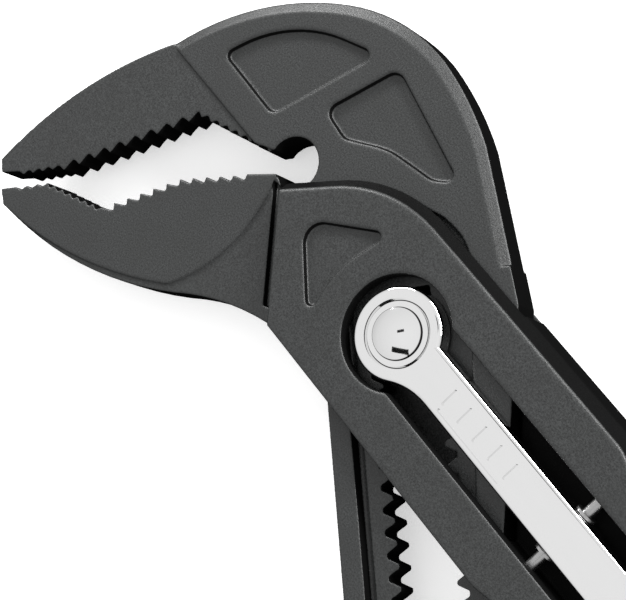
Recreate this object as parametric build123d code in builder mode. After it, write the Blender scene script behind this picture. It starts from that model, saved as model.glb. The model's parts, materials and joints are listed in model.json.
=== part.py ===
from build123d import *

import os
from math import atan, cos, degrees, radians, sin

# Self-adjusting tongue and groove pliers lying on their back, in millimetres.
# Origin: the foot of the pivot axis on the resting face of the back cheek.
# +X runs along the channelled handle, +Z up out of the front cheek.

# --- overall sizes ---------------------------------------------------------
CHEEK_HALF = 7.4          # half thickness over both cheeks
JAW_HALF = 4.0            # half thickness of the fixed jaw
NECK_HALF = 3.5           # half thickness of the fixed half between jaw and cheek
BODY_HALF = 4.0           # half thickness of the sliding half's arched body
SLIDING_JAW_HALF = 3.5    # half thickness of the sliding jaw
WEB_HALF = 2.7            # half thickness of the web around the toothed slot
CORE_HALF = 2.8           # half thickness of the handle cores inside the grips
HANDLE_LENGTH = 168.0     # pivot axis to the end of either grip
HANDLE_SPREAD = 34.5      # angle between the two handles at rest

# --- fits ------------------------------------------------------------------
SLIDE_GAP = 0.3           # between the sliding half and each cheek
SWEEP_GAP = 0.5           # around the sliding half's outline over its whole travel
TOOTH_GAP = 0.25          # between the lock bolt's teeth and the slot's teeth
RUNNING_GAP = 0.05        # radial clearance of a turning fit
STACK_GAP = 0.1           # between pieces stacked along the pivot
MID = CHEEK_HALF          # height of the middle plane above the resting face
BOX_HALF = BODY_HALF + SLIDE_GAP

# --- motion ----------------------------------------------------------------
OPEN_SWING = 20.0         # degrees the handles open from rest
CLOSE_SWING = 1.0         # degrees they close from rest
SWEEP_STEPS = 5           # swings at which the sliding half's box is cut
TOOTH_PITCH = 3.9         # pitch of the slot's teeth
SLOT_STEPS = 12           # tooth pitches of travel along the slot
SLOT_TRAVEL = SLOT_STEPS * TOOTH_PITCH

# --- leg and slot of the sliding half, along and across the slot -------------
LEG_LEFT = 15.5           # outer edge on the fixed jaw's side
LEG_RIGHT = 14.0          # outer edge on the handle's side
BODY_ENTRY = -2.0         # where the body's outer edge enters the cheeks
BODY_RIGHT = 21.4         # that edge, from the slot's centre line
BODY_TAPER = 0.11         # how fast it closes in, towards the arch
BODY_END = 40.0           # where the body has closed in to the leg
BODY_FOOT = -9.0          # start of the leg inside the body
THROAT_SIDE = (-30.5, -10.0)      # straight stretch under the throat's crown
BOX_START = -46.0         # start of the space the sliding half needs between the cheeks
RIM_WIDTH = 4.1           # raised rim along each edge of the leg
RIM_START = -25.0
RIM_GROOVE = 1.5          # relief groove at the foot of the left rim
RIM_GROOVE_START = -20.0
RIM_GROOVE_DEPTH = 1.4
SLOT_TIP = 5.1            # centre line to the tips of the slot's teeth
SLOT_TOOTH = 2.1          # depth of those teeth
SLOT_CREST = 0.10         # half width of a tooth's crest, in pitches
SLOT_END = 3.5            # slot beyond the slide block at each end
SLIDE_HALF = SLOT_TIP - TOOTH_GAP
SLOT_START = -SLIDE_HALF - SLOT_END
SLOT_STOP = SLOT_TRAVEL + SLIDE_HALF + SLOT_END
LEG_WIDE_END = 62.0       # where the leg starts to narrow
LEG_NECK = 8.0            # half width of the leg where the core starts
CORE_START = 104.0        # pivot axis to the start of each grip
CORE_ROOT = CORE_START - 3.0
CORE_END_GAP = 7.0        # grip left beyond the end of the core
CORE_WIDTH = 9.0
WEB_END = CORE_START - 8.0
WEB_RIGHT_START = 36.0    # where the web's edge leaves the right rim

# --- cheeks and handle of the fixed half ---------------------------------------
CHEEK_HIGH = 18.6         # cheeks' straight side towards +Y
CHEEK_LOW = 17.1          # and towards -Y
CHEEK_END = 42.0          # end of the cheeks' full width along the handle
CHEEK_ROUND = 0.8         # round of the cheeks' outer edges
OPENING_ROUND = 0.6       # round of the edges of the channel and of the pockets
DRAFT_WIDTH = 2.1         # how far the cheeks' sloped sides lean in
DRAFT = degrees(atan(DRAFT_WIDTH / (CHEEK_HALF - JAW_HALF)))
WALL_LINE = -35.4         # x + y along the cheeks' straight wall over the neck
RELIEF_LINE = -39.8       # x + y along the far side of the groove at its foot
RELIEF_DEPTH = 1.5
POCKET_DEPTH = 1.2
HANDLE_START = 62.0       # where the cheeks have narrowed to the handle
HANDLE_HALF = 11.5        # half width of the handle in front of the grip
HANDLE_STANDOFF = 3.0     # handle's underside above the resting face
STANDOFF_START = 54.0
STANDOFF_RAMP = 10.0
HEEL_OPENING = (10.0, 8.0)        # where the arched body comes out from between the cheeks
HEEL_OFFSET = (7.0, 4.0)          # its centre from the fixed jaw's heel
OUTSIDE = 60.0            # a distance past every outline
CUT = 1.0                 # how far a cut reaches past the face it goes through

# --- lever channel in the front cheek ------------------------------------------
CHANNEL_HALF = 8.0        # half width of the lever's channel
KEYHOLE_RADIUS = 10.3     # round end of the channel over the pivot
CHANNEL_FLOOR = 1.2       # channel floor above the middle plane at the lever pin
CHANNEL_DEEP = -3.4       # channel floor under the lever's thumb pad
CHANNEL_RAMP = (54.0, 73.0)       # start and end of the slope between the two floors
CHANNEL_END = 98.0        # end of the channel along the handle
HANDLE_SHOULDER = CHANNEL_END + 3.0

# --- release lever ----------------------------------------------------------------
LEVER_GAP = 0.4           # lever's skirt above the sliding half
LEVER_SHEET = 1.4         # sheet thickness of the lever
LEVER_SKIRT = 2.4         # height of the lever's skirt along the arm
LEVER_TOP = BODY_HALF + LEVER_GAP + LEVER_SKIRT
LEVER_ROUND = 0.8         # round of the pressing's top edge
LEVER_HALF = 4.25         # half width of the arm
LEVER_END = 95.0
EYE_RADIUS = 8.4          # eye of the lever, over the lock bolt
EYE_SKIRT = 3.5           # height of the skirt round the eye
EYE_HOLE = 6.2            # counterbore for the retaining ring
EYE_LIP = 5.0             # hole under the counterbore
EYE_LIP_SHEET = 0.6
LEFT_BLEND = 13.0         # blend from the eye into the arm, on the fixed jaw's side
RIGHT_BLEND = 4.5         # and on the other side
PAD_HALF = 6.4            # half width of the lever's thumb pad
PAD_START = 58.0
PIN_X = 45.0              # lever pin, along the handle from the pivot axis
PIN_DEPTH = 2.8           # lever pin below the lever's top face
PIN_HEIGHT = LEVER_TOP - PIN_DEPTH
PIN_RADIUS = 1.05
PIN_LENGTH = 23.0
SHIM_RADIUS = 2.0
SHIM_SHEET = 0.5
SHIM_GAP = 0.15
EAR_HALF = 4.5            # half length of the lever's ears round the pin
EAR_DEPTH = 4.6
GROOVE_COUNT = 5          # shallow grooves across the arm
GROOVE_DEPTH = 0.5
GROOVE_START = 15.0
GROOVE_PITCH = 4.2
GROOVE_WIDTH = 0.6
GROOVE_LENGTH = 3.6

# --- lock bolt and what sits on it ------------------------------------------------
STEM_RADIUS = 4.2         # lock bolt's stem
NECK_RADIUS = 3.6         # neck of the stem, inside the ring
NECK_STUB = 0.6           # bolt neck held in the button cap
BLOCK_GAP = 0.3           # between the lock bolt's block and the skirt round the eye
TOOTH_BLOCK_BASE = 0.3    # underside of the toothed block above the middle plane
TOOTH_BLOCK_TOP = 2.9
BUTTON_RADIUS = 4.6
BUTTON_RISE = 1.2         # crown of the button above the lever's top face
BUTTON_EDGE = 0.4
BUTTON_HEIGHT = LEVER_TOP + BUTTON_RISE
RING_RADIUS = 5.7
RING_SHEET = 0.55
RING_BASE = LEVER_TOP - LEVER_SHEET + EYE_LIP_SHEET + RUNNING_GAP
JOURNAL_RADIUS = 5.2
CAP_RADIUS = 7.0
CAP_SHEET = 0.8
TAIL_RADIUS = 1.6
TAIL_END = CAP_SHEET + 0.3
CLIP_RADIUS = 3.0
CLIP_SHEET = 0.5

# --- springs: coil radius, wire radius, turns -------------------------------------
SPRING_CHAMBER = 3.4      # radius of the spring chamber in the slide block
SPRING_SHELF = 1.2        # top of that chamber below the middle plane
BOLT_SPRING = (2.5, 0.2, 3)
BOLT_SPRING_GAP = 0.25    # free at each end
LEVER_SPRING = (2.6, 0.35, 5)
LEVER_SPRING_X = 84.0
SEAT_RADIUS = 3.6
SEAT_SHEET = 0.4
SEAT_PEG_RADIUS = 1.9
SEAT_PEG_HEIGHT = 2.0

# --- grips ---------------------------------------------------------------------------
GRIP_HALF = 10.0
GRIP_GUARD = 12.0         # half width over the guard
GRIP_GUARD_PEAK = 5.0     # start of the grip to the guard's widest place
GRIP_GUARD_END = 18.0
GRIP_SWELL = 0.8          # how much the grip swells again before its end
GRIP_SWELL_LENGTH = 14.0
GRIP_NARROW = 2.5         # how much it narrows at the very end
GRIP_CORNER = 2.4
GRIP_ROUND = 3.2
INLAY_EDGE = 6.6          # inner edge of the soft inlay, from the handle's centre line
INLAY_INSET = 13.0        # grip left uncovered at each end of the inlay

# --- shape of the sliding half, in plan --------------------------------------------
UPPER_TIP = (-83.2, -41.0)
UPPER_NOSE = (-85.3, -39.4)
UPPER_FLAT = (-80.4, -38.0)        # end of the teeth, by the tip
UPPER_BEND = (-75.0, -31.0)        # where the saw teeth give way to finer ones
UPPER_VEE = (-61.0, -3.0)          # bottom of the sliding jaw's pipe notch
UPPER_BROW = (-81.9, -15.0)        # on the jaw's long outer curve
UPPER_STEP = (-75.0, 1.4)          # end of the jaw, start of the arched body
THROAT_CORNER_X = -47.5
THROAT_START = (-43.6, 3.4)
THROAT_CROWN = (-38.0, 9.4)
JAW_ROOT_X = -46.0
JAW_ROOT_Y = 6.0           # how far the jaw runs into the body
ARCH_BEVEL_WIDTH = 2.1
ARCH_BEVEL_DROP = 1.1
ARCH_RIM = 10.0            # x + 1.6 y above which an edge belongs to the arched back
ARCH_RIM_START = -66.0

# --- shape of the fixed half, in plan ----------------------------------------------
LOWER_TIP = (-80.4, -42.9)
LOWER_CHIN = (-77.6, -44.5)
LOWER_FLAT = (-78.2, -40.2)        # start of the teeth, by the tip
LOWER_BEND = (-73.8, -34.6)
LOWER_VEE = (-61.4, -29.2)         # bottom of the fixed jaw's pipe notch
LOWER_STRAIGHT = (-53.6, -13.8)    # where the saw teeth give way to lower ones
LOWER_LAST = (-44.2, -3.4)         # last tooth
LOWER_HEEL = (-39.9, 0.9)
NECK_START = (-37.0, -0.4)         # neck's edges, ending under the cheeks
NECK_ROOT = (-24.0, 2.0)
NECK_END_X = -14.0
NECK_FOOT_X = -17.5
NECK_BELLY = (-38.0, -28.2)
PLATEAU_CORNER = (-40.0, -28.0)    # raised face of the fixed jaw, bottom corner
PLATEAU_ROUND = 2.5

# --- rows of teeth: gaps, depth and how far each gap leans ----------------------------
UPPER_FLANK_TEETH = (8, -0.9, 0.5)
UPPER_SAW_TEETH = (9, -1.45, 0.7)
UPPER_NOSE_TEETH = (4, -0.8, 0.6)
LOWER_NOSE_TEETH = (3, 0.7, 0.5)
LOWER_FLANK_TEETH = (7, 0.8, 0.5)
LOWER_SAW_TEETH = (6, 1.35, 0.85)
LOWER_HEEL_TEETH = (5, 1.1, 0.85)

# --- outlines with rounded corners: x, y and the corner's radius ---------------------
CHEEK_OUTLINE = [
    (-42.0, -2.0, 1.0),
    (-21.4, CHEEK_HIGH, 28.0),
    (CHEEK_END, CHEEK_HIGH, 12.0),
    (HANDLE_START, HANDLE_HALF + 1.5, 20.0),
    (HANDLE_SHOULDER, HANDLE_HALF, 3.0),
    (CORE_START, CORE_WIDTH / 2 + 3.0, 1.0),
    (CORE_START, -CORE_WIDTH / 2 - 3.0, 1.0),
    (HANDLE_SHOULDER, -HANDLE_HALF, 3.0),
    (HANDLE_START, -HANDLE_HALF - 1.0, 20.0),
    (CHEEK_END, -CHEEK_LOW, 12.0),
    (-26.0, -CHEEK_LOW, 1.0),
]
ARCH_POCKET_FRONT = [(-65.3, 7.7, 1.2), (-60.2, 21.7, 26.0), (-42.2, 28.9, 1.4), (-49.2, 7.3, 2.2)]
ARCH_POCKET_REAR = [
    (-42.0, 15.2, 1.8),
    (-37.2, 29.9, 2.4),
    (-13.4, 24.6, 1.2),
    (-17.4, 21.4, 4.0),
    (-27.5, 19.2, 14.0),
    (-35.3, 14.4, 3.0),
]
CHEEK_POCKET = [(-28.0, 0.0, 3.4), (-14.0, 10.5, 1.05), (-16.7, -0.8, 18.0), (-14.0, -10.6, 1.05)]
BASE = (Align.CENTER, Align.CENTER, Align.MIN)


def along(t, off):
    """Point at t along the slot from the pivot axis and off to the handle's side of it."""
    a = radians(HANDLE_SPREAD)
    return (t * cos(a) + off * sin(a), -t * sin(a) + off * cos(a))


def tooth_row(start, end, count, depth, lean):
    """Saw teeth between two tips: count gaps, each depth deep (to the right of the row)."""
    first = Vector(*start)
    row = Vector(*end) - first
    across = Vector(row.Y, -row.X).normalized() * depth
    points = []
    for i in range(count):
        points.append(first + row * (i / count))
        points.append(first + row * ((i + lean) / count) + across)
    points.append(first + row)
    return points


def arched_back():
    """The sliding half's back, from the end of the jaw to where it enters the cheeks."""
    ThreePointArc(UPPER_STEP, (-67.4, 17.6), (-54.2, 30.7))
    ThreePointArc((-54.2, 30.7), (-44.2, 35.5), (-33.0, 36.9))
    ThreePointArc((-33.0, 36.9), (-24.0, 35.4), (-15.0, 32.4))
    Line((-15.0, 32.4), along(BODY_ENTRY, BODY_RIGHT))


def leg_sides(clearance, start):
    """Closed outline of the sliding half from start along the slot to the handle core."""
    left = -LEG_LEFT - clearance
    right = LEG_RIGHT + clearance
    Polyline(
        along(start, left),
        along(LEG_WIDE_END, left),
        along(CORE_START, -LEG_NECK - clearance),
        along(CORE_START, LEG_NECK + clearance),
        along(LEG_WIDE_END, right),
        along(BODY_END, right),
        along(BODY_ENTRY, BODY_RIGHT + clearance),
        along(start, BODY_RIGHT + clearance + BODY_TAPER * (start - BODY_ENTRY)),
        close=True,
    )


def slot_outline(inset):
    """Closed outline of the toothed slot, with every wall moved inwards by inset."""
    tip = SLOT_TIP - inset
    root = SLOT_TIP + SLOT_TOOTH - inset
    crest = TOOTH_PITCH * SLOT_CREST
    left = []
    for i in range(SLOT_STEPS + 3):
        t = (i - 1) * TOOTH_PITCH
        left.append(along(t - crest, -tip))
        left.append(along(t + crest, -tip))
        left.append(along(t + TOOTH_PITCH / 2 - crest, -root))
        left.append(along(t + TOOTH_PITCH / 2 + crest, -root))
    right = []
    for i in reversed(range(SLOT_STEPS + 3)):
        t = (i - 1) * TOOTH_PITCH
        right.append(along(t + TOOTH_PITCH / 2 + crest, root))
        right.append(along(t + TOOTH_PITCH / 2 - crest, root))
        right.append(along(t + crest, tip))
        right.append(along(t - crest, tip))
    ends = [along(SLOT_STOP - inset, -tip), along(SLOT_STOP - inset, tip)]
    starts = [along(SLOT_START + inset, tip), along(SLOT_START + inset, -tip)]
    Polyline(*left, *ends, *right, *starts, close=True)


def leg_band(height, clearance, start, swing, travel):
    """Sketch of the sliding half between the cheeks, swung about the pivot and slid along the slot."""
    with BuildSketch() as still:
        with BuildLine():
            leg_sides(clearance, start)
        make_face()
    with BuildSketch(Plane.XY.offset(height).rotated((0, 0, swing))) as band:
        with Locations(along(-travel, 0.0)):
            add(still.sketch)
    return band.sketch


def lever_outline(height, inset):
    """Sketch of the lever in plan, with its edge moved inwards by inset."""
    with BuildSketch(Plane.XY.offset(MID + height)) as outline:
        Circle(EYE_RADIUS - inset)
        with Locations((LEVER_END / 2, 0.0)):
            Rectangle(LEVER_END - 2 * inset, 2 * (LEVER_HALF - inset))
        throat = outline.vertices().filter_by(lambda v: 0.1 < v.X < 2 * EYE_RADIUS)
        fillet(throat.sort_by(Axis.Y)[0], LEFT_BLEND)
        fillet(throat.sort_by(Axis.Y)[-1], RIGHT_BLEND)
        with Locations(((PAD_START + LEVER_END) / 2, 0.0)):
            SlotOverall(LEVER_END - PAD_START - 2 * inset, 2 * (PAD_HALF - inset))
    return outline.sketch


def rounded_outline(height, corners):
    """Sketch with straight sides whose corners are given as x, y and radius."""
    with BuildSketch(Plane.XY.offset(height)) as outline:
        with BuildLine():
            Polyline(*[(x, y) for x, y, radius in corners], close=True)
        make_face()
        for x, y, radius in corners:
            fillet(outline.vertices().sort_by_distance((x, y, 0.0))[0], radius)
    return outline.sketch


def sink_both_faces(corners, face_half, depth):
    """Sink a rounded outline into the front and the back face of the part being built."""
    front = rounded_outline(MID + face_half - depth, corners)
    extrude(front, amount=depth + CUT, mode=Mode.SUBTRACT)
    back = rounded_outline(MID - face_half + depth, corners)
    extrude(back, amount=-depth - CUT, mode=Mode.SUBTRACT)


def drafted_cheek():
    """Back cheek: its sides lean in, but for the straight wall over the neck and the low side."""
    spread = [(x, y - DRAFT_WIDTH if y < 0 else y, radius) for x, y, radius in CHEEK_OUTLINE]
    with BuildPart() as cheek:
        extrude(rounded_outline(MID - JAW_HALF, spread), amount=JAW_HALF - CHEEK_HALF, taper=DRAFT)
        fillet(cheek.faces().sort_by(Axis.Z)[0].edges(), CHEEK_ROUND)
        with BuildSketch(Plane.XY):
            with BuildLine():
                Polyline(
                    (-OUTSIDE, WALL_LINE + OUTSIDE),
                    (-OUTSIDE, -OUTSIDE),
                    (HANDLE_LENGTH, -OUTSIDE),
                    (HANDLE_LENGTH, -HANDLE_HALF),
                    (HANDLE_SHOULDER, -HANDLE_HALF),
                    (HANDLE_START, -HANDLE_HALF - 1.0),
                    (CHEEK_END, -CHEEK_LOW),
                    (WALL_LINE + CHEEK_LOW, -CHEEK_LOW),
                    close=True,
                )
            make_face()
        extrude(amount=CHEEK_HALF, mode=Mode.SUBTRACT)
    return cheek.part


def arched_edges(face):
    """Edges of a face of the arched body that lie along its back."""
    found = []
    for edge in face.edges():
        middle = edge.center()
        if middle.X > ARCH_RIM_START and middle.X + 1.6 * middle.Y > ARCH_RIM:
            found.append(edge)
    return found


# --- sliding half: upper jaw, arched body, toothed leg and handle core ----------
with BuildPart() as upper_jaw_half:
    with BuildSketch(Plane.XY.offset(MID - BODY_HALF)):
        with BuildLine():
            arched_back()
            throat_far, throat_near = [along(t, -LEG_LEFT) for t in THROAT_SIDE]
            Polyline(along(BODY_ENTRY, BODY_RIGHT), throat_near, throat_far)
            ThreePointArc(throat_far, THROAT_CROWN, THROAT_START)
            Polyline(THROAT_START, (THROAT_CORNER_X, UPPER_STEP[1]), UPPER_STEP)
        make_face()
    extrude(amount=2 * BODY_HALF)
    for face_place in (0, -1):
        flat = upper_jaw_half.faces().sort_by(Axis.Z)[face_place]
        chamfer(arched_edges(flat), length=ARCH_BEVEL_WIDTH, length2=ARCH_BEVEL_DROP, reference=flat)
    extrude(leg_band(MID - BODY_HALF, 0.0, BODY_FOOT, 0.0, 0.0), amount=2 * BODY_HALF)
    # sliding jaw with its saw teeth and pipe notch
    with BuildSketch(Plane.XY.offset(MID - SLIDING_JAW_HALF)):
        with BuildLine():
            ThreePointArc(UPPER_NOSE, UPPER_BROW, UPPER_STEP)
            Polyline(UPPER_STEP, (ARCH_RIM_START, JAW_ROOT_Y), (JAW_ROOT_X, JAW_ROOT_Y), THROAT_START)
            flank = tooth_row(THROAT_START, UPPER_VEE, *UPPER_FLANK_TEETH)
            saw = tooth_row(UPPER_VEE, UPPER_BEND, *UPPER_SAW_TEETH)
            nose = tooth_row(UPPER_BEND, UPPER_FLAT, *UPPER_NOSE_TEETH)
            Polyline(*flank, *saw[1:], *nose[1:], UPPER_TIP, UPPER_NOSE)
        make_face()
    extrude(amount=2 * SLIDING_JAW_HALF)
    # recess that leaves the web round the slot
    web_corners = [
        (*along(RIM_START, -LEG_LEFT + RIM_WIDTH), 2.0),
        (*along(LEG_WIDE_END, -LEG_LEFT + RIM_WIDTH), 20.0),
        (*along(WEB_END, -LEG_NECK + RIM_WIDTH / 2), 2.0),
        (*along(WEB_END, LEG_NECK - RIM_WIDTH / 2), 2.0),
        (*along(LEG_WIDE_END, LEG_RIGHT - RIM_WIDTH), 20.0),
        (*along(WEB_RIGHT_START, LEG_RIGHT - RIM_WIDTH), 20.0),
        (-3.8, 19.1, 8.0),
        (-10.5, 18.9, 8.0),
        (-20.0, 15.2, 2.0),
    ]
    sink_both_faces(web_corners, BODY_HALF, BODY_HALF - WEB_HALF)
    # relief groove along the foot of the left rim
    groove_corners = [
        (*along(RIM_GROOVE_START, -LEG_LEFT + RIM_WIDTH), 0.1),
        (*along(LEG_WIDE_END, -LEG_LEFT + RIM_WIDTH), 0.1),
        (*along(LEG_WIDE_END, -LEG_LEFT + RIM_WIDTH + RIM_GROOVE), 0.5),
        (*along(RIM_GROOVE_START, -LEG_LEFT + RIM_WIDTH + RIM_GROOVE), 0.5),
    ]
    sink_both_faces(groove_corners, WEB_HALF, RIM_GROOVE_DEPTH)
    with BuildSketch(Plane.XY.offset(MID - BODY_HALF)):
        with BuildLine():
            slot_outline(0.0)
        make_face()
    extrude(amount=2 * BODY_HALF, mode=Mode.SUBTRACT)
    # weight-saving pockets in the arched body
    sink_both_faces(ARCH_POCKET_FRONT, BODY_HALF, POCKET_DEPTH)
    sink_both_faces(ARCH_POCKET_REAR, BODY_HALF, POCKET_DEPTH)
    for opening in upper_jaw_half.faces().sort_by(Axis.Z)[-1].inner_wires():
        fillet(opening.edges(), OPENING_ROUND)
    # handle core
    with BuildSketch(Plane.XY.offset(MID - CORE_HALF)):
        with BuildLine():
            Polyline(
                along(CORE_ROOT, -CORE_WIDTH / 2),
                along(HANDLE_LENGTH - CORE_END_GAP, -CORE_WIDTH / 2),
                along(HANDLE_LENGTH - CORE_END_GAP, CORE_WIDTH / 2),
                along(CORE_ROOT, CORE_WIDTH / 2),
                close=True,
            )
        make_face()
    extrude(amount=2 * CORE_HALF)

# --- fixed half: lower jaw, two cheeks, lever channel and handle core -----------
cheek = drafted_cheek()
with BuildPart() as lower_jaw_half:
    # foot of the cheeks and the handle, ending at the straight wall over the neck
    extrude(rounded_outline(MID - JAW_HALF, CHEEK_OUTLINE), amount=2 * JAW_HALF)
    with BuildSketch(Plane.XY):
        with BuildLine():
            Polyline(
                (-OUTSIDE, WALL_LINE + OUTSIDE),
                (-OUTSIDE, -OUTSIDE),
                (WALL_LINE + OUTSIDE, -OUTSIDE),
                close=True,
            )
        make_face()
    extrude(amount=2 * CHEEK_HALF, mode=Mode.SUBTRACT)
    # neck plate, which also makes the thinner border of the jaw
    with BuildSketch(Plane.XY.offset(MID - NECK_HALF)):
        with BuildLine():
            nose = tooth_row(LOWER_FLAT, LOWER_BEND, *LOWER_NOSE_TEETH)
            flank = tooth_row(LOWER_BEND, LOWER_VEE, *LOWER_FLANK_TEETH)
            saw = tooth_row(LOWER_VEE, LOWER_STRAIGHT, *LOWER_SAW_TEETH)
            heel = tooth_row(LOWER_STRAIGHT, LOWER_LAST, *LOWER_HEEL_TEETH)
            Polyline(LOWER_TIP, *nose, *flank[1:], *saw[1:], *heel[1:], LOWER_HEEL, NECK_START)
            Polyline(NECK_START, NECK_ROOT, (NECK_END_X, -CHEEK_LOW), (NECK_FOOT_X, -CHEEK_LOW))
            ThreePointArc((NECK_FOOT_X, -CHEEK_LOW), (-27.6, -20.9), NECK_BELLY)
            ThreePointArc(NECK_BELLY, (-56.4, -39.3), LOWER_CHIN)
            Line(LOWER_CHIN, LOWER_TIP)
        make_face()
    extrude(amount=2 * NECK_HALF)
    # raised face of the jaw
    with BuildSketch(Plane.XY.offset(MID - JAW_HALF)) as raised:
        with BuildLine():
            Polyline(LOWER_TIP, *nose, *flank[1:], *saw[1:], *heel[1:], LOWER_HEEL)
            ThreePointArc(LOWER_HEEL, (-36.4, -14.0), PLATEAU_CORNER)
            ThreePointArc(PLATEAU_CORNER, (-55.8, -37.9), LOWER_CHIN)
            Line(LOWER_CHIN, LOWER_TIP)
        make_face()
        fillet(raised.vertices().sort_by_distance((*PLATEAU_CORNER, 0.0))[0], PLATEAU_ROUND)
    extrude(amount=2 * JAW_HALF)
    add(cheek)
    add(mirror(cheek, about=Plane.XY.offset(MID), mode=Mode.PRIVATE))
    # underside of the handle stands off the bench
    with BuildSketch(Plane.XZ.offset(-HANDLE_LENGTH / 2)):
        with BuildLine():
            Polyline(
                (STANDOFF_START, 0.0),
                (STANDOFF_START + STANDOFF_RAMP, HANDLE_STANDOFF),
                (CORE_START, HANDLE_STANDOFF),
                (CORE_START, 0.0),
                close=True,
            )
        make_face()
    extrude(amount=HANDLE_LENGTH, mode=Mode.SUBTRACT)
    # box the sliding half runs through, at every swing it can take
    for step in range(SWEEP_STEPS + 1):
        swing = -OPEN_SWING + (OPEN_SWING + CLOSE_SWING) * step / SWEEP_STEPS
        for travel in (0.0, SLOT_TRAVEL):
            swept = leg_band(MID - BOX_HALF, SWEEP_GAP, BOX_START, swing, travel)
            extrude(swept, amount=2 * BOX_HALF, mode=Mode.SUBTRACT)
    # nothing between the cheeks past the heel, where the arched body comes out
    with BuildSketch(Plane.XY.offset(MID - BOX_HALF)):
        with Locations((LOWER_HEEL[0] + HEEL_OFFSET[0], LOWER_HEEL[1] + HEEL_OFFSET[1])):
            Rectangle(*HEEL_OPENING)
    extrude(amount=2 * BOX_HALF, mode=Mode.SUBTRACT)
    # relief groove along the foot of each cheek's straight wall
    for side in (1, -1):
        with BuildSketch(Plane.XY.offset(MID + side * (NECK_HALF + CUT))):
            with BuildLine():
                Polyline(
                    (-39.6, RELIEF_LINE + 39.6),
                    (-23.4, RELIEF_LINE + 23.4),
                    (-20.4, WALL_LINE + 20.4),
                    (-35.2, WALL_LINE + 35.2),
                    close=True,
                )
            make_face()
        extrude(amount=-side * (CUT + RELIEF_DEPTH), mode=Mode.SUBTRACT)
    sink_both_faces(CHEEK_POCKET, CHEEK_HALF, POCKET_DEPTH)
    # channel for the release lever, with its round end over the pivot
    with BuildSketch(Plane.XY.offset(MID + CHANNEL_FLOOR)):
        Circle(KEYHOLE_RADIUS)
        with Locations((CHANNEL_END / 2, 0.0)):
            Rectangle(CHANNEL_END, 2 * CHANNEL_HALF)
    extrude(amount=CHEEK_HALF, mode=Mode.SUBTRACT)
    with BuildSketch(Plane.XZ.offset(-CHANNEL_HALF)):
        with BuildLine():
            Polyline(
                (CHANNEL_RAMP[0], MID + CHEEK_HALF + CUT),
                (CHANNEL_RAMP[0], MID + CHANNEL_FLOOR),
                (CHANNEL_RAMP[1], MID + CHANNEL_DEEP),
                (CHANNEL_END, MID + CHANNEL_DEEP),
                (CHANNEL_END, MID + CHEEK_HALF + CUT),
                close=True,
            )
        make_face()
    extrude(amount=2 * CHANNEL_HALF, mode=Mode.SUBTRACT)
    for opening in lower_jaw_half.faces().sort_by(Axis.Z)[-1].inner_wires():
        fillet(opening.edges(), OPENING_ROUND)
    # bearing for the slide block's journal, seat for the back cap, holes for the lever pin
    with Locations(Location((0, 0, 0))):
        Cylinder(JOURNAL_RADIUS + RUNNING_GAP, MID, align=BASE, mode=Mode.SUBTRACT)
        Cylinder(CAP_RADIUS, CAP_SHEET, align=BASE, mode=Mode.SUBTRACT)
    with Locations(Location((PIN_X, 0, MID + PIN_HEIGHT), (90, 0, 0))):
        Cylinder(PIN_RADIUS, PIN_LENGTH, mode=Mode.SUBTRACT)
    # handle core
    with BuildSketch(Plane.XY.offset(MID - CORE_HALF)):
        with Locations(((CORE_ROOT + HANDLE_LENGTH - CORE_END_GAP) / 2, 0.0)):
            Rectangle(HANDLE_LENGTH - CORE_END_GAP - CORE_ROOT, CORE_WIDTH)
    extrude(amount=2 * CORE_HALF)

# --- slide block: turns in the back cheek and carries the sliding half's slot ----
with BuildPart() as slide_block:
    with Locations(Location((0, 0, CAP_SHEET + STACK_GAP))):
        Cylinder(JOURNAL_RADIUS, MID - BOX_HALF, align=BASE)
    with BuildSketch(Plane.XY.offset(MID - BOX_HALF + STACK_GAP).rotated((0, 0, -HANDLE_SPREAD))):
        Rectangle(2 * SLIDE_HALF, 2 * SLIDE_HALF)
    extrude(amount=BOX_HALF - 2 * STACK_GAP)
    with Locations(Location((0, 0, 0))):
        Cylinder(SPRING_CHAMBER, MID - SPRING_SHELF, align=BASE, mode=Mode.SUBTRACT)
        Cylinder(TAIL_RADIUS + RUNNING_GAP, MID + CUT, align=BASE, mode=Mode.SUBTRACT)

# --- lock bolt: toothed block, stem and tail -------------------------------------
with BuildPart() as lock_bolt:
    with BuildSketch(Plane.XY.offset(MID + TOOTH_BLOCK_BASE)):
        with BuildLine():
            slot_outline(TOOTH_GAP)
        make_face()
        Rectangle(
            2 * TOOTH_PITCH,
            2 * (SLOT_TIP + SLOT_TOOTH),
            rotation=-HANDLE_SPREAD,
            mode=Mode.INTERSECT,
        )
        Circle(EYE_RADIUS - LEVER_SHEET - BLOCK_GAP, mode=Mode.INTERSECT)
    extrude(amount=TOOTH_BLOCK_TOP - TOOTH_BLOCK_BASE)
    with Locations(Location((0, 0, MID + TOOTH_BLOCK_TOP))):
        Cylinder(STEM_RADIUS, RING_BASE - TOOTH_BLOCK_TOP, align=BASE)
    with Locations(Location((0, 0, MID + RING_BASE))):
        Cylinder(NECK_RADIUS, RING_SHEET + NECK_STUB, align=BASE)
    with Locations(Location((0, 0, TAIL_END))):
        Cylinder(TAIL_RADIUS, MID + TOOTH_BLOCK_BASE - TAIL_END, align=BASE)

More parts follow.
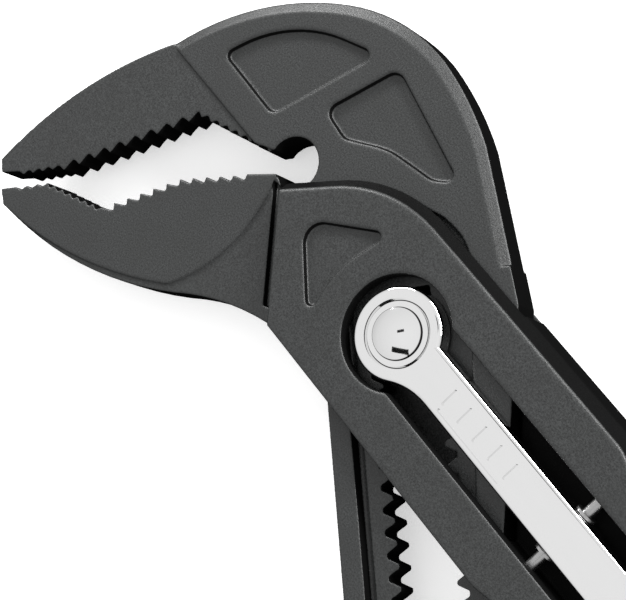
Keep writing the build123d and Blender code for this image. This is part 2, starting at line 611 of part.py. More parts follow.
# --- button cap on the bolt, over the ring --------------------------------------
with BuildPart() as button_cap:
    cap_base = MID + RING_BASE + RING_SHEET
    crown = MID + BUTTON_HEIGHT
    dome_rise = crown - cap_base - BUTTON_EDGE
    dome_radius = (BUTTON_RADIUS**2 + dome_rise**2) / (2 * dome_rise)
    with Locations(Location((0, 0, cap_base))):
        Cylinder(BUTTON_RADIUS, crown - cap_base, align=BASE)
    with Locations(Location((0, 0, crown - dome_radius))):
        Sphere(dome_radius, mode=Mode.INTERSECT)
    with Locations(Location((0, 0, cap_base))):
        Cylinder(NECK_RADIUS, NECK_STUB, align=BASE, mode=Mode.SUBTRACT)

with BuildPart() as retaining_ring:
    with BuildSketch(Plane.XY.offset(MID + RING_BASE)):
        Circle(RING_RADIUS)
        Circle(NECK_RADIUS, mode=Mode.SUBTRACT)
    extrude(amount=RING_SHEET)

with BuildPart() as bolt_clip:
    with BuildSketch(Plane.XY.offset(TAIL_END)):
        Circle(CLIP_RADIUS)
        Circle(TAIL_RADIUS, mode=Mode.SUBTRACT)
    extrude(amount=CLIP_SHEET)

with BuildPart() as back_cap:
    with Locations(Location((0, 0, 0))):
        Cylinder(CAP_RADIUS, CAP_SHEET, align=BASE)

# --- release lever: a chromed pressing -------------------------------------------
with BuildPart() as release_lever:
    extrude(lever_outline(LEVER_TOP - LEVER_SKIRT, 0.0), amount=LEVER_SKIRT)
    with Locations(Location((0, 0, MID + LEVER_TOP - EYE_SKIRT))):
        Cylinder(EYE_RADIUS, EYE_SKIRT, align=BASE)
    fillet(release_lever.faces().sort_by(Axis.Z)[-1].edges(), LEVER_ROUND)
    with BuildSketch(Plane.XY.offset(MID + LEVER_TOP - EAR_DEPTH)):
        with Locations((PIN_X, 0.0)):
            Rectangle(2 * EAR_HALF, 2 * LEVER_HALF)
    extrude(amount=EAR_DEPTH - LEVER_SHEET)
    hollow = lever_outline(LEVER_TOP - EAR_DEPTH, LEVER_SHEET)
    extrude(hollow, amount=EAR_DEPTH - LEVER_SHEET, mode=Mode.SUBTRACT)
    with Locations(Location((0, 0, MID + LEVER_TOP - LEVER_SHEET))):
        Cylinder(EYE_LIP, LEVER_SHEET + CUT, align=BASE, mode=Mode.SUBTRACT)
    with Locations(Location((0, 0, MID + LEVER_TOP - LEVER_SHEET + EYE_LIP_SHEET))):
        Cylinder(EYE_HOLE, LEVER_SHEET + CUT, align=BASE, mode=Mode.SUBTRACT)
    with Locations(Location((PIN_X, 0, MID + PIN_HEIGHT), (90, 0, 0))):
        Cylinder(PIN_RADIUS + RUNNING_GAP, PIN_LENGTH, mode=Mode.SUBTRACT)
    # plain grooves across the arm, and one along it
    row_length = (GROOVE_COUNT - 1) * GROOVE_PITCH
    with BuildSketch(Plane.XY.offset(MID + LEVER_TOP - GROOVE_DEPTH)):
        for i in range(GROOVE_COUNT):
            with Locations((GROOVE_START + i * GROOVE_PITCH, 0.0)):
                SlotOverall(GROOVE_LENGTH, GROOVE_WIDTH, rotation=90)
        with Locations((GROOVE_START + row_length / 2, GROOVE_WIDTH - LEVER_HALF + LEVER_ROUND)):
            SlotOverall(row_length, GROOVE_WIDTH)
    extrude(amount=GROOVE_DEPTH + CUT, mode=Mode.SUBTRACT)

with BuildPart() as lever_pin:
    with Locations(Location((PIN_X, 0, MID + PIN_HEIGHT), (90, 0, 0))):
        Cylinder(PIN_RADIUS, PIN_LENGTH)

with BuildPart() as lever_shims:
    for side in (1, -1):
        with BuildSketch(Plane.XZ.offset(-side * (LEVER_HALF + SHIM_GAP))):
            with Locations((PIN_X, MID + PIN_HEIGHT)):
                Circle(SHIM_RADIUS)
                Circle(PIN_RADIUS, mode=Mode.SUBTRACT)
        extrude(amount=-side * SHIM_SHEET)

# --- springs ----------------------------------------------------------------------
def coil(x, seat, length, radius, wire, turns):
    """Closed coil spring standing on a seat."""
    with BuildPart() as spring:
        with BuildLine(Plane.XY.offset(seat)) as centre:
            Helix(pitch=length / turns, height=length, radius=radius, center=(x, 0, 0))
        with BuildSketch(Plane(origin=centre.line @ 0, z_dir=centre.line % 0)):
            Circle(wire)
        sweep(path=centre.line, is_frenet=True)
    return spring


BOLT_SEAT = TAIL_END + CLIP_SHEET + BOLT_SPRING_GAP
BOLT_SPRING_LENGTH = MID - SPRING_SHELF - BOLT_SPRING_GAP - BOLT_SEAT
LEVER_SEAT = CHANNEL_DEEP + SEAT_SHEET + LEVER_SPRING[1]
LEVER_SPRING_LENGTH = LEVER_TOP - LEVER_SHEET - LEVER_SPRING[1] - STACK_GAP - LEVER_SEAT
bolt_spring = coil(0.0, BOLT_SEAT, BOLT_SPRING_LENGTH, *BOLT_SPRING)
lever_spring = coil(LEVER_SPRING_X, MID + LEVER_SEAT, LEVER_SPRING_LENGTH, *LEVER_SPRING)

with BuildPart() as spring_seat:
    with Locations(Location((LEVER_SPRING_X, 0, MID + CHANNEL_DEEP))):
        Cylinder(SEAT_RADIUS, SEAT_SHEET, align=BASE)
        Cylinder(SEAT_PEG_RADIUS, SEAT_PEG_HEIGHT, align=BASE)

# --- grips: a hard sleeve on each core, with a soft inlay along its outer side --------
def grip_form(plane):
    """Outer form of a grip along the plane's x axis, without its core."""
    profile = [
        (CORE_START, GRIP_HALF),
        (CORE_START + GRIP_GUARD_PEAK, GRIP_GUARD),
        (CORE_START + GRIP_GUARD_END, GRIP_HALF),
        (HANDLE_LENGTH - GRIP_SWELL_LENGTH, GRIP_HALF + GRIP_SWELL),
        (HANDLE_LENGTH, GRIP_HALF - GRIP_NARROW),
    ]
    mirrored = [(x, -y) for x, y in reversed(profile)]
    core_end = HANDLE_LENGTH - CORE_END_GAP
    with BuildPart() as form:
        with BuildSketch(plane.offset(MID - CHEEK_HALF)) as side:
            with BuildLine():
                Polyline(*profile, *mirrored, close=True)
            make_face()
            fillet(side.vertices(), GRIP_CORNER)
        extrude(amount=2 * CHEEK_HALF)
        fillet(form.edges().filter_by(Axis.Z, reverse=True), GRIP_ROUND)
        with BuildSketch(plane.offset(MID - CORE_HALF)):
            with Locations(((CORE_START + core_end) / 2, 0.0)):
                Rectangle(core_end - CORE_START, CORE_WIDTH)
        extrude(amount=2 * CORE_HALF, mode=Mode.SUBTRACT)
    return form


def inlay_space(plane, side, depth):
    """Block along the outer side of a grip that the soft inlay fills."""
    with BuildPart() as space:
        with BuildSketch(plane):
            with Locations(((CORE_START + HANDLE_LENGTH) / 2, side * (INLAY_EDGE + GRIP_GUARD))):
                Rectangle(HANDLE_LENGTH - CORE_START - 2 * INLAY_INSET, 2 * GRIP_GUARD)
        extrude(amount=depth)
    return space


HANDLES = {
    "lower": (Plane.XY, 1),
    "upper": (Plane.XY.rotated((0, 0, -HANDLE_SPREAD)), -1),
}
GRIPS = {}
for half, (plane, outer_side) in HANDLES.items():
    form = grip_form(plane)
    space = inlay_space(plane, outer_side, 2 * CHEEK_HALF)
    with BuildPart() as sleeve:
        add(form.part)
        add(space.part, mode=Mode.SUBTRACT)
    with BuildPart() as inlay:
        add(form.part)
        add(space.part, mode=Mode.INTERSECT)
    GRIPS[f"{half}_grip_sleeve"] = sleeve
    GRIPS[f"{half}_grip_inlay"] = inlay

PIECES = {
    "upper_jaw_half": upper_jaw_half,
    "lower_jaw_half": lower_jaw_half,
    "slide_block": slide_block,
    "lock_bolt": lock_bolt,
    "button_cap": button_cap,
    "retaining_ring": retaining_ring,
    "bolt_clip": bolt_clip,
    "back_cap": back_cap,
    "release_lever": release_lever,
    "lever_pin": lever_pin,
    "lever_shims": lever_shims,
    "bolt_spring": bolt_spring,
    "lever_spring": lever_spring,
    "spring_seat": spring_seat,
    **GRIPS,
}
os.makedirs("parts", exist_ok=True)
for name, piece in PIECES.items():
    piece.part.label = name
    export_step(piece.part, f"parts/{name}.step")
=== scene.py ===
"""Looks for a pair of self-adjusting tongue and groove pliers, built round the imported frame."""

import json
import logging
import math
from dataclasses import dataclass, field
from enum import Enum
from typing import Any, Sequence, Union

import bpy
from mathutils import Matrix, Vector


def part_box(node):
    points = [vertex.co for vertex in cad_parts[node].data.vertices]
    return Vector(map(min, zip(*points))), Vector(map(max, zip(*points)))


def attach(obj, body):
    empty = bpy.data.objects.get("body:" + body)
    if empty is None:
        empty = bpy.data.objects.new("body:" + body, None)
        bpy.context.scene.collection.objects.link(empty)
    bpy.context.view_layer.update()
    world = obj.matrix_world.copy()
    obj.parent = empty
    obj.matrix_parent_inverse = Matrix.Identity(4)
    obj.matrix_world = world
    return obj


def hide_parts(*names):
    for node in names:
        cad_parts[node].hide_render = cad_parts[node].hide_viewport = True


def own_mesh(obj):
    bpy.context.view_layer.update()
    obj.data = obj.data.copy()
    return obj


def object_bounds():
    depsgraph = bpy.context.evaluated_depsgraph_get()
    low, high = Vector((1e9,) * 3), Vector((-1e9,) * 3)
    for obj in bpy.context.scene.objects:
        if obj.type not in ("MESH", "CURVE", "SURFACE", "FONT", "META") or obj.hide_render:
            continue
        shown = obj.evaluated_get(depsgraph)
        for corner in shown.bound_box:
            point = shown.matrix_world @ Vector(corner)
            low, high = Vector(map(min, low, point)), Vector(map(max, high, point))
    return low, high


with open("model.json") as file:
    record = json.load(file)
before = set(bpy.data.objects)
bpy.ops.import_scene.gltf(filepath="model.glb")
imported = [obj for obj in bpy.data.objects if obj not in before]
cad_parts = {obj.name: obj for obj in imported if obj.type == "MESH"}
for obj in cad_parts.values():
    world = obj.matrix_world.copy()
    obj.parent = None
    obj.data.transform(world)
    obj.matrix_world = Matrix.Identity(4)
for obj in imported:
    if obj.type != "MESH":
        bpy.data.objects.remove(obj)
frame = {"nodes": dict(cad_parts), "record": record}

LOG = logging.getLogger("pliers")
CAD_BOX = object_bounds()
MM = 0.001
Colour = tuple[float, float, float]


def grey(level: float, warm: float = 0.0, green: float = 0.0) -> Colour:
    """Mixes a linear colour near a neutral level.

    Args:
        level: Brightness of the neutral grey.
        warm: How far red is raised and blue lowered.
        green: How far green is raised.

    Returns:
        The colour.
    """
    return (level * (1 + warm), level * (1 + green), level * (1 - warm))


class Finish(Enum):
    """The finishes that the pliers' pieces are given."""

    FORGED = "forged"
    # forged steel with painted shade in the lever's channel too
    CHANNELLED = "forged_channel"
    CHROME = "chrome"
    STEEL = "steel"
    GRIP_HARD = "grip_hard"
    GRIP_SOFT = "grip_soft"
    FLOOR = "floor"


class Sock:
    """One output of a shader node, with arithmetic that adds Math nodes."""

    def __init__(self, tree: "Tree", socket: bpy.types.NodeSocket) -> None:
        """Wraps a socket.

        Args:
            tree: The tree that the socket's node is in.
            socket: The output.
        """
        self.tree = tree
        self.socket = socket

    def _math(self, operation: str, a: Any, b: Any = 0.0) -> "Sock":
        """Adds one Math node.

        Args:
            operation: What it works out.
            a: First value or link.
            b: Second value or link.

        Returns:
            The node's output.
        """
        return self.tree.node("ShaderNodeMath", {"operation": operation}, {0: a, 1: b})

    def __add__(self, other: Any) -> "Sock":
        """Returns self + other."""
        return self._math("ADD", self, other)

    def __mul__(self, other: Any) -> "Sock":
        """Returns self * other."""
        return self._math("MULTIPLY", self, other)

    def __sub__(self, other: Any) -> "Sock":
        """Returns self - other."""
        return self._math("SUBTRACT", self, other)

    def __rsub__(self, other: Any) -> "Sock":
        """Returns other - self."""
        return self._math("SUBTRACT", other, self)

    def __pow__(self, other: Any) -> "Sock":
        """Returns self ** other."""
        return self._math("POWER", self, other)

    def __rpow__(self, other: Any) -> "Sock":
        """Returns other ** self."""
        return self._math("POWER", other, self)

    __radd__ = __add__
    __rmul__ = __mul__

    def absolute(self) -> "Sock":
        """Returns the distance from zero."""
        return self._math("ABSOLUTE", self)

    def under(self, limit: float) -> "Sock":
        """Returns 1 below the limit and 0 above it."""
        return self._math("LESS_THAN", self, limit)

    def over(self, low: float, high: float) -> "Sock":
        """Ramps from 0 to 1.

        Args:
            low: Value that gives 0.
            high: Value that gives 1, which may be the smaller of the two.

        Returns:
            The ramp, held at 0 and 1 outside it.
        """
        limits = {"Value": self, "From Min": low, "From Max": high}
        return self.tree.node("ShaderNodeMapRange", {"clamp": True}, limits)


class Tree:
    """The node tree of one material or of the world."""

    def __init__(self, owner: Union[bpy.types.Material, bpy.types.World], output: str) -> None:
        """Empties the owner's node tree and adds its output node.

        Args:
            owner: The material or world.
            output: Type of its output node.
        """
        owner.use_nodes = True
        self.owner = owner
        self.nodes = owner.node_tree.nodes
        self.links = owner.node_tree.links
        self.nodes.clear()
        self.output = self.nodes.new(output)

    @classmethod
    def material(cls, name: str) -> "Tree":
        """Returns the empty tree of a new material."""
        return cls(bpy.data.materials.new(name), "ShaderNodeOutputMaterial")

    def node(self, kind: str, settings: dict[str, Any], inputs: dict[Any, Any], out: Any = 0) -> Sock:
        """Adds a node.

        Args:
            kind: The node's type.
            settings: Attributes set before any socket; a list under "stops" fills a colour ramp.
            inputs: Value or link of each named or numbered input.
            out: Name or number of the output to return.

        Returns:
            The chosen output.
        """
        made = self.nodes.new(kind)
        for key, value in settings.items():
            if key == "stops":
                self._fill_ramp(made.color_ramp.elements, value)
            else:
                setattr(made, key, value)
        for key, value in inputs.items():
            if isinstance(value, Sock):
                self.links.new(value.socket, made.inputs[key])
            elif isinstance(value, tuple) and len(value) == 3 and made.inputs[key].type == "RGBA":
                made.inputs[key].default_value = (*value, 1.0)
            else:
                made.inputs[key].default_value = value
        return Sock(self, made.outputs[out])

    @staticmethod
    def _fill_ramp(ramp: Any, stops: Sequence[tuple[float, Colour]]) -> None:
        """Fills a colour ramp.

        Args:
            ramp: The ramp's elements.
            stops: Place and colour of each stop.
        """
        while len(ramp) < len(stops):
            ramp.new(0.5)
        for stop, (place, colour) in zip(ramp, stops):
            stop.position = place
            stop.color = (*colour, 1.0)

    def place(self) -> Sock:
        """Returns object coordinates, which stay with the piece when it moves."""
        return self.node("ShaderNodeTexCoord", {}, {}, "Object")

    def split(self, vector: Sock) -> tuple[Sock, Sock, Sock]:
        """Returns the three parts of a vector."""
        parts = self.node("ShaderNodeSeparateXYZ", {}, {"Vector": vector})
        return tuple(Sock(self, output) for output in parts.socket.node.outputs)

    def noise(
        self, size: float, detail: float, rough: float, stretch: Sequence[float] = (1, 1, 1)
    ) -> Sock:
        """Adds noise that stays with the piece.

        Args:
            size: About how many metres its lumps measure.
            detail: Number of finer layers.
            rough: Strength of the finer layers.
            stretch: How much the lumps are squeezed along each axis.

        Returns:
            The noise, mostly between 0.3 and 0.7.
        """
        scale = tuple(share / size for share in stretch)
        where = self.node("ShaderNodeMapping", {}, {"Vector": self.place(), "Scale": scale})
        inputs = {"Vector": where, "Scale": 1.0, "Detail": detail, "Roughness": rough}
        return self.node("ShaderNodeTexNoise", {}, inputs)

    def blend(self, factor: Any, a: Any, b: Any) -> Sock:
        """Mixes two colours.

        Args:
            factor: Share of the second colour.
            a: First colour or link.
            b: Second colour or link.

        Returns:
            The mixed colour.
        """
        return self.node("ShaderNodeMix", {"data_type": "RGBA"}, {0: factor, 6: a, 7: b}, 2)

    def surface(
        self,
        inputs: dict[str, Any],
        height: Union[Sock, None] = None,
        relief: float = 0.0,
        over: Union[tuple[Sock, dict[str, Any]], None] = None,
    ) -> bpy.types.Material:
        """Finishes the material with one Principled shader, or with two mixed by a mask.

        Args:
            inputs: Values or links of the shader's inputs.
            height: What the bump follows, if there is one.
            relief: Height of the bump in metres.
            over: Mask and inputs of a second shader that shows where the mask is 1.

        Returns:
            The finished material.
        """
        if height is not None:
            bump = {"Strength": 1.0, "Distance": relief, "Height": height}
            inputs["Normal"] = self.node("ShaderNodeBump", {}, bump)
        shader = self.node("ShaderNodeBsdfPrincipled", {}, inputs)
        if over is not None:
            mask, other = over
            second = self.node("ShaderNodeBsdfPrincipled", {}, other)
            shader = self.node("ShaderNodeMixShader", {}, {0: mask, 1: shader, 2: second})
        self.links.new(shader.socket, self.output.inputs["Surface"])
        return self.owner


@dataclass(frozen=True)
class ForgedSteel:
    """Dark phosphated drop-forged steel with a fine blasted grain."""

    tone: float = 0.019
    grain: float = 0.3 * MM
    relief: float = 0.05 * MM
    cloud: float = 7 * MM
    cloud_share: float = 0.4
    roughness: float = 0.4
    # painted shade on steep walls: its tone, the tilt where it starts, its blend and its strength
    painted_shade_tone: float = 0.003
    wall_tilt: float = 0.56
    wall_blend: float = 0.12
    wall_shade_strength: float = 0.96
    # painted shade in the lever's channel: its reach beside the lever, round its eye and in height
    channel_side: float = 1.1 * MM
    channel_round: float = 1.35 * MM
    channel_low: float = 0.5 * MM
    channel_high: float = 5.6 * MM
    channel_blend: float = 0.3 * MM

    def build(self, name: str, channelled: bool) -> bpy.types.Material:
        """Makes the material.

        Args:
            name: Its name.
            channelled: Whether the lever's channel gets the painted shade too.

        Returns:
            The material.
        """
        tree = Tree.material(name)
        grain = tree.noise(self.grain, 3.0, 0.65)
        cloud = tree.noise(self.cloud, 4.0, 0.6)
        low = grey(self.tone * 0.35, -0.03, 0.03)
        high = grey(self.tone * 2.1, -0.03, 0.03)
        stain = grey(self.tone * 0.8, 0, 0.04)
        tone = tree.blend(grain.over(0.32, 0.68), low, high)
        tone = tree.blend(cloud.over(0.35, 0.7) * self.cloud_share, tone, stain)
        rough = grain.over(0.3, 0.7) * 0.2 + cloud * 0.06 + (self.roughness - 0.12)
        steel = {"Base Color": tone, "Roughness": rough, "Specular IOR Level": 0.5}
        # painted shade: a near-black, dull shader that stands in for the shade on steep walls
        painted_shade = {"Base Color": grey(self.painted_shade_tone), "Roughness": 0.6, "Specular IOR Level": 0.05}
        mask = self.walls(tree)
        # painted shade also fills the lever's channel
        if channelled:
            mask = (mask + self.channel(tree)).over(0.0, 1.0)
        return tree.surface(steel, grain, self.relief, (mask, painted_shade))

    def walls(self, tree: Tree) -> Sock:
        """Masks the steep walls, which get painted shade, near black.

        Args:
            tree: The material's tree.

        Returns:
            Nearly 1 on steep walls and 0 on the faces.
        """
        normal = tree.node("ShaderNodeTexCoord", {}, {}, "Normal")
        tilt = tree.split(normal)[2].absolute()
        # painted shade: nearly full strength on steep walls, none on the faces
        return tilt.over(self.wall_tilt + self.wall_blend, self.wall_tilt) * self.wall_shade_strength

    def channel(self, tree: Tree) -> Sock:
        """Masks the lever's channel and its round end, where shade is painted.

        Args:
            tree: The material's tree.

        Returns:
            1 inside the channel and 0 elsewhere.
        """
        low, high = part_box("release_lever")
        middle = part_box("lower_jaw_half")[1].z / 2
        x, y, z = tree.split(tree.place())
        beside = y.absolute().under(high.y + self.channel_side) * x.over(0.0, 0.5 * MM)
        eye = (x * x + y * y).under((-low.x + self.channel_round) ** 2)
        floor = middle + self.channel_low
        above = z.over(floor, floor + self.channel_blend)
        return (beside + eye).over(0.2, 0.8) * above * z.under(middle + self.channel_high)


@dataclass(frozen=True)
class Chrome:
    """Bright chrome plate with faint polishing haze and painted shade as dark rings at the seams round
    the button.
    """

    tone: float = 0.86
    roughness: float = 0.045
    haze: float = 2.5 * MM
    haze_roughness: float = 0.04
    # painted shade: dark rings where the seams round the button hold shade
    shaded_seams: tuple[float, ...] = (4.62 * MM, 5.9 * MM)
    seam_half: float = 0.13 * MM
    seam_shade_tone: float = 0.04

    def build(self) -> bpy.types.Material:
        """Returns the material."""
        tree = Tree.material("chrome")
        haze = tree.noise(self.haze, 3.0, 0.6, (0.15, 1, 1))
        x, y, z = tree.split(tree.place())
        radius = (x * x + y * y) ** 0.5
        colour = tree.blend(haze, grey(self.tone), grey(self.tone * 0.97))
        # paint the shade of each seam as a dark ring
        for seam in self.shaded_seams:
            shade = (radius - seam).absolute().over(self.seam_half, self.seam_half * 0.5)
            colour = tree.blend(shade, colour, grey(self.tone * self.seam_shade_tone))
        rough = haze.over(0.3, 0.8) * self.haze_roughness + self.roughness
        return tree.surface({"Base Color": colour, "Metallic": 1.0, "Roughness": rough})


@dataclass(frozen=True)
class TurnedSteel:
    """Plain turned steel with fine rings left by the tool."""

    tone: float = 0.5
    roughness: float = 0.24
    ring: float = 0.12 * MM
    relief: float = 0.004 * MM

    def build(self) -> bpy.types.Material:
        """Returns the material."""
        tree = Tree.material("steel")
        rings = tree.noise(self.ring, 2.0, 0.6, (0.1, 0.1, 1))
        colour = tree.blend(rings, grey(self.tone * 0.8), grey(self.tone))
        rough = rings * 0.15 + self.roughness
        inputs = {"Base Color": colour, "Metallic": 1.0, "Roughness": rough}
        return tree.surface(inputs, rings, self.relief)


@dataclass(frozen=True)
class Moulded:
    """Moulded grip material with a spark-eroded texture."""

    name: str
    tone: float
    roughness: float
    texture: float
    wear: float = 14 * MM
    wear_roughness: float = 0.12

    def build(self) -> bpy.types.Material:
        """Returns the material."""
        tree = Tree.material(self.name)
        pits = tree.noise(self.texture, 2.0, 0.5)
        wear = tree.noise(self.wear, 4.0, 0.6)
        colour = tree.blend(pits.over(0.3, 0.7), grey(self.tone * 0.85), grey(self.tone * 1.15))
        polish = self.roughness - self.wear_roughness / 2
        rough = wear.over(0.3, 0.7) * self.wear_roughness + polish
        return tree.surface({"Base Color": colour, "Roughness": rough}, pits, self.texture * 0.12)


@dataclass(frozen=True)
class PaleFloor:
    """Matt pale studio floor that glows a little."""

    tone: float = 0.86
    glow: float = 0.6
    mottle: float = 60 * MM

    def build(self) -> bpy.types.Material:
        """Returns the material."""
        tree = Tree.material("floor")
        mottle = tree.noise(self.mottle, 2.0, 0.5)
        tone = tree.blend(mottle, grey(self.tone), grey(self.tone * 1.015))
        return tree.surface(
            {"Base Color": tone, "Roughness": 0.9, "Emission Color": tone, "Emission Strength": self.glow}
        )


class Workshop:
    """Holds each finish's material and hands it to pieces."""

    def __init__(self) -> None:
        """Builds every finish once."""
        hard = Moulded(Finish.GRIP_HARD.value, 0.022, 0.55, 0.5 * MM)
        soft = Moulded(Finish.GRIP_SOFT.value, 0.07, 0.75, 0.35 * MM)
        self.made = {
            Finish.FORGED: ForgedSteel().build(Finish.FORGED.value, channelled=False),
            Finish.CHANNELLED: ForgedSteel().build(Finish.CHANNELLED.value, channelled=True),
            Finish.CHROME: Chrome().build(),
            Finish.STEEL: TurnedSteel().build(),
            Finish.GRIP_HARD: hard.build(),
            Finish.GRIP_SOFT: soft.build(),
            Finish.FLOOR: PaleFloor().build(),
        }

    def dress(self, piece: bpy.types.Object, finish: Finish) -> None:
        """Gives a piece one finish all over.

        Args:
            piece: The piece.
            finish: Its finish.
        """
        piece.data.materials.clear()
        piece.data.materials.append(self.made[finish])


def stand(name: str, mesh: bpy.types.Mesh) -> bpy.types.Object:
    """Puts a mesh in the scene.

    Args:
        name: Name of its object.
        mesh: The mesh.

    Returns:
        The object.
    """
    made = bpy.data.objects.new(name, mesh)
    bpy.context.scene.collection.objects.link(made)
    return made


@dataclass(frozen=True)
class SoftBox:
    """One rectangular lamp, aimed at the origin."""

    name: str
    place: tuple[float, float, float]
    size: tuple[float, float]
    watts: float

    def hang(self) -> None:
        """Hangs the lamp."""
        light = bpy.data.lights.new(self.name, "AREA")
        light.shape = "RECTANGLE"
        light.size, light.size_y = self.size
        light.energy = self.watts
        lamp = bpy.data.objects.new(self.name, light)
        lamp.location = self.place
        lamp.rotation_euler = Vector(self.place).to_track_quat("Z", "Y").to_euler()
        bpy.context.scene.collection.objects.link(lamp)


@dataclass(frozen=True)
class BlackCard:
    """A black card one metre away that only shows in reflections."""

    name: str
    direction: tuple[float, float, float]
    wide: float
    high: float
    tone: float = 0.002

    def hang(self, side: Vector) -> None:
        """Hangs the card.

        Args:
            side: Direction across the camera's view.
        """
        centre = Vector(self.direction).normalized()
        up = centre.cross(side).normalized()
        across = up.cross(centre)
        corners = [(-0.5, -0.5), (0.5, -0.5), (0.5, 0.5), (-0.5, 0.5)]
        points = [centre + across * (i * self.wide) + up * (j * self.high) for i, j in corners]
        mesh = bpy.data.meshes.new(self.name)
        mesh.from_pydata(points, [], [(0, 1, 2, 3)])
        black = {"Base Color": grey(self.tone), "Roughness": 1.0}
        mesh.materials.append(Tree.material(self.name).surface(black))
        card = stand(self.name, mesh)
        card.visible_camera = False
        card.visible_diffuse = False
        card.visible_shadow = False


@dataclass
class Studio:
    """Floor, lights, cards, room and camera."""

    lens_mm: float = 120.0
    clip_start: float = 0.01
    floor_half: float = 3.0
    floor_drop: float = 0.02 * MM
    camera_place: Vector = field(default_factory=lambda: Vector((134.3, 73.25, 337.0)) * MM)
    camera_back: Vector = field(default_factory=lambda: Vector((0.4107, 0.2220, 0.8843)))
    camera_up: Vector = field(default_factory=lambda: Vector((-0.7102, 0.6861, 0.1576)))
    room: tuple[tuple[float, Colour], ...] = (
        (0.0, grey(0.005)),
        (0.05, grey(0.02)),
        (0.16, grey(0.6)),
        (0.5, grey(0.8)),
        (1.0, grey(0.92)),
    )
    lamps: tuple[SoftBox, ...] = (
        SoftBox("key", (0.1, 0.84, 0.39), (1.0, 0.2), 14.0),
        SoftBox("rim", (-0.84, 0.33, 0.38), (0.5, 0.2), 7.0),
    )
    cards: tuple[BlackCard, ...] = (
        BlackCard("card_high", (-0.27, -0.02, 0.96), 0.22, 0.08),
        BlackCard("card_low", (0.137, -0.431, 0.889), 0.55, 0.16),
    )

    def floor(self, shop: Workshop) -> None:
        """Lays the floor under the pliers.

        Args:
            shop: Where its finish comes from.
        """
        far = self.floor_half
        z = CAD_BOX[0][2] - self.floor_drop
        corners = [(-far, -far, z), (far, -far, z), (far, far, z), (-far, far, z)]
        mesh = bpy.data.meshes.new("floor")
        mesh.from_pydata(corners, [], [(0, 1, 2, 3)])
        floor = stand("floor", mesh)
        shop.dress(floor, Finish.FLOOR)
        floor.visible_glossy = False
        floor.visible_diffuse = False

    def camera(self) -> None:
        """Sets the camera at the reference angle."""
        back = self.camera_back.normalized()
        right = self.camera_up.cross(back).normalized()
        up = back.cross(right)
        lens = bpy.data.cameras.new("camera")
        lens.lens = self.lens_mm
        lens.clip_start = self.clip_start
        camera = bpy.data.objects.new("camera", lens)
        turn = Matrix((right, up, back)).transposed().to_4x4()
        camera.matrix_world = Matrix.Translation(self.camera_place) @ turn
        bpy.context.scene.collection.objects.link(camera)
        bpy.context.scene.camera = camera

    def world(self) -> None:
        """Fills the room with pale light above a dark horizon."""
        world = bpy.data.worlds.new("room")
        tree = Tree(world, "ShaderNodeOutputWorld")
        place = tree.node("ShaderNodeTexCoord", {}, {}, "Generated")
        height = tree.node("ShaderNodeSeparateXYZ", {}, {"Vector": place}, "Z")
        sky = tree.node("ShaderNodeValToRGB", {"stops": self.room}, {"Fac": height})
        back = tree.node("ShaderNodeBackground", {}, {"Color": sky, "Strength": 1.0})
        tree.links.new(back.socket, tree.output.inputs["Surface"])
        bpy.context.scene.world = world
        bpy.context.scene.view_settings.view_transform = "Standard"

    def build(self, shop: Workshop) -> None:
        """Sets the whole studio up.

        Args:
            shop: Where the floor's finish comes from.
        """
        self.floor(shop)
        self.camera()
        self.world()
        for lamp in self.lamps:
            lamp.hang()
        for card in self.cards:
            card.hang(self.camera_up.cross(self.camera_back))
        LOG.info("studio set up")


@dataclass
class Forging:
    """A forged half, whose machined corners are eased all over."""

    node: str
    finish: Finish
    ease: int = 3
    voxel: float = 0.24 * MM
    quick_share: float = 2.0
    keep: float = 0.3

    def build(self, shop: Workshop) -> None:
        """Eases the half's corners and dresses it.

        Args:
            shop: Where its finish comes from.
        """
        piece = frame["nodes"][self.node]
        skin = piece.modifiers.new("skin", "REMESH")
        skin.mode = "VOXEL"
        skin.voxel_size = self.voxel * 1.0
        skin.use_smooth_shade = True
        smooth = piece.modifiers.new("ease", "SMOOTH")
        smooth.factor = 0.5
        smooth.iterations = self.ease
        thin = piece.modifiers.new("thin", "DECIMATE")
        thin.ratio = self.keep
        shop.dress(piece, self.finish)
        LOG.info("%s eased and dressed", self.node)


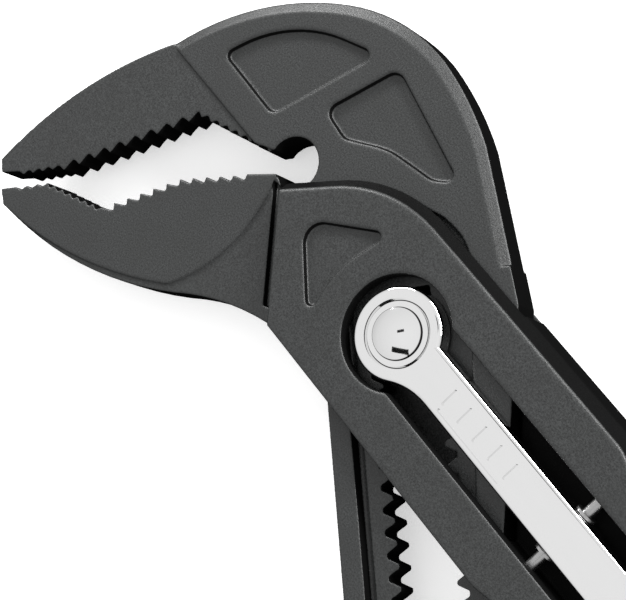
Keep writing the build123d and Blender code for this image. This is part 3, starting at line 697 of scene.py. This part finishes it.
@dataclass
class CoilSpring:
    """A round-wire coil that stands in the CAD spring's box."""

    node: str
    body: str
    joint: str
    wire: float
    turns: int
    to_top: bool
    keep: float
    around: int = 8
    along: int = 28

    def points(self) -> list[Vector]:
        """Returns the rings of the helical tube that fills the CAD spring's box."""
        low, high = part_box(self.node)
        centre = (low + high) / 2
        radius = (high.x - low.x) / 2 - self.wire
        rise = high.z - low.z - 2 * self.wire
        last = self.turns * self.along
        rings = []
        for i in range(last + 1):
            turn = 2 * math.pi * i / self.along
            out = Vector((math.cos(turn), math.sin(turn), 0.0))
            foot = Vector((centre.x, centre.y, low.z + self.wire + rise * i / last))
            for j in range(self.around):
                spin = 2 * math.pi * j / self.around
                side = out * math.cos(spin) + Vector((0, 0, math.sin(spin)))
                rings.append(foot + out * radius + side * self.wire)
        return rings

    def faces(self) -> list[tuple[int, ...]]:
        """Returns the tube's faces, with a cap at each end."""
        found = []
        last = self.turns * self.along * self.around
        for start in range(0, last, self.around):
            for j in range(self.around):
                k = (j + 1) % self.around
                after = start + self.around
                found.append((start + j, start + k, after + k, after + j))
        found.append(tuple(range(self.around)))
        found.append(tuple(last + j for j in reversed(range(self.around))))
        return found

    def build(self, shop: Workshop) -> None:
        """Puts the coil in place of its CAD node.

        Args:
            shop: Where its finish comes from.
        """
        mesh = bpy.data.meshes.new(self.node + "_coil")
        mesh.from_pydata(self.points(), [], self.faces())
        mesh.polygons.foreach_set("use_smooth", [True] * len(mesh.polygons))
        coil = stand(self.node + "_coil", mesh)
        shop.dress(coil, Finish.STEEL)
        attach(coil, self.body)
        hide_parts(self.node)
        low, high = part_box(self.node)
        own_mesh(coil)
        LOG.info("%s coiled", self.node)


def dress_small_pieces(shop: Workshop) -> None:
    """Dresses every node but the two halves after the record's material slots.

    Args:
        shop: Where the finishes come from.
    """
    slots = {part["node"]: part["material_slot"] for part in frame["record"]["subparts"]}
    for name, node in frame["nodes"].items():
        if not name.endswith("_half"):
            shop.dress(node, Finish(slots[name]))
            LOG.info("%s dressed", name)


def main() -> None:
    """Builds the pliers' looks in order."""
    logging.basicConfig(level=logging.INFO, format="%(message)s")
    shop = Workshop()
    Studio().build(shop)
    Forging("lower_jaw_half", Finish.CHANNELLED).build(shop)
    Forging("upper_jaw_half", Finish.FORGED).build(shop)
    dress_small_pieces(shop)
    CoilSpring("bolt_spring", "slide_guide", "bolt_lift", 0.2 * MM, 3, True, 0.2).build(shop)
    CoilSpring("lever_spring", "channel_half", "lever_press", 0.35 * MM, 5, False, 0.66).build(shop)


if __name__ == "__main__":
    main()
